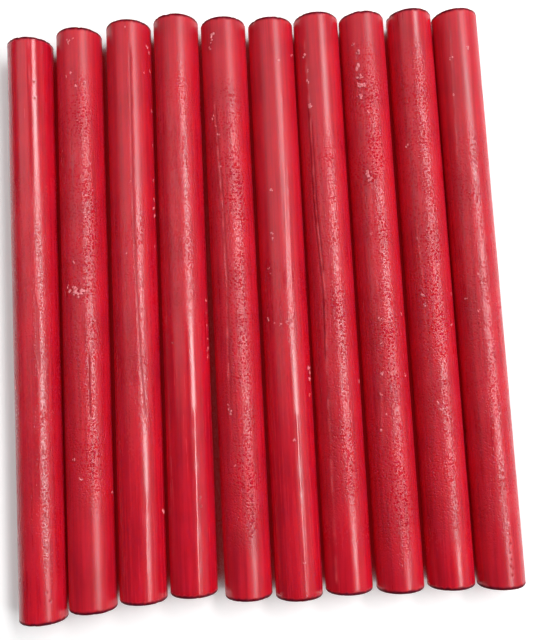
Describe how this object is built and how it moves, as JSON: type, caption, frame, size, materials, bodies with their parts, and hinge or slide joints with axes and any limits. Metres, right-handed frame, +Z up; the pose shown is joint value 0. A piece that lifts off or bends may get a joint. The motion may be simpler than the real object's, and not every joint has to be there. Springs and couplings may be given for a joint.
{
  "type": "sealing wax stick set",
  "caption": "Round red sealing wax sticks lying loose side by side, each a plain cast rod with rounded rims that lifts off the row to be melted for a seal.",
  "frame": {"origin": "bottom centre of the row's box, on the surface that the sticks lie on", "axes": "+X across the row to the picture's right, +Y along the sticks to the picture's top, +Z up from the surface"},
  "size_m": [0.1164, 0.1406, 0.011],
  "materials": {
    "red_wax": "semi-gloss cast wax with a fine orange-peel skin"
  },
  "bodies": {
    "stick_01": {"stick_01": "red_wax"},
    "stick_02": {"stick_02": "red_wax"},
    "stick_03": {"stick_03": "red_wax"},
    "stick_04": {"stick_04": "red_wax"},
    "stick_05": {"stick_05": "red_wax"},
    "stick_06": {"stick_06": "red_wax"},
    "stick_07": {"stick_07": "red_wax"},
    "stick_08": {"stick_08": "red_wax"},
    "stick_09": {"stick_09": "red_wax"},
    "stick_10": {"stick_10": "red_wax"}
  },
  "joints": [
    {"name": "stick_01_lift", "type": "slide", "parent": "stick_05", "child": "stick_01", "axis": [0, 0, 1], "range_m": [0, 0.04]},
    {"name": "stick_02_lift", "type": "slide", "parent": "stick_05", "child": "stick_02", "axis": [0, 0, 1], "range_m": [0, 0.04]},
    {"name": "stick_03_lift", "type": "slide", "parent": "stick_05", "child": "stick_03", "axis": [0, 0, 1], "range_m": [0, 0.04]},
    {"name": "stick_04_lift", "type": "slide", "parent": "stick_05", "child": "stick_04", "axis": [0, 0, 1], "range_m": [0, 0.04]},
    {"name": "stick_06_lift", "type": "slide", "parent": "stick_05", "child": "stick_06", "axis": [0, 0, 1], "range_m": [0, 0.04]},
    {"name": "stick_07_lift", "type": "slide", "parent": "stick_05", "child": "stick_07", "axis": [0, 0, 1], "range_m": [0, 0.04]},
    {"name": "stick_08_lift", "type": "slide", "parent": "stick_05", "child": "stick_08", "axis": [0, 0, 1], "range_m": [0, 0.04]},
    {"name": "stick_09_lift", "type": "slide", "parent": "stick_05", "child": "stick_09", "axis": [0, 0, 1], "range_m": [0, 0.04]},
    {"name": "stick_10_lift", "type": "slide", "parent": "stick_05", "child": "stick_10", "axis": [0, 0, 1], "range_m": [0, 0.04]}
  ]
}
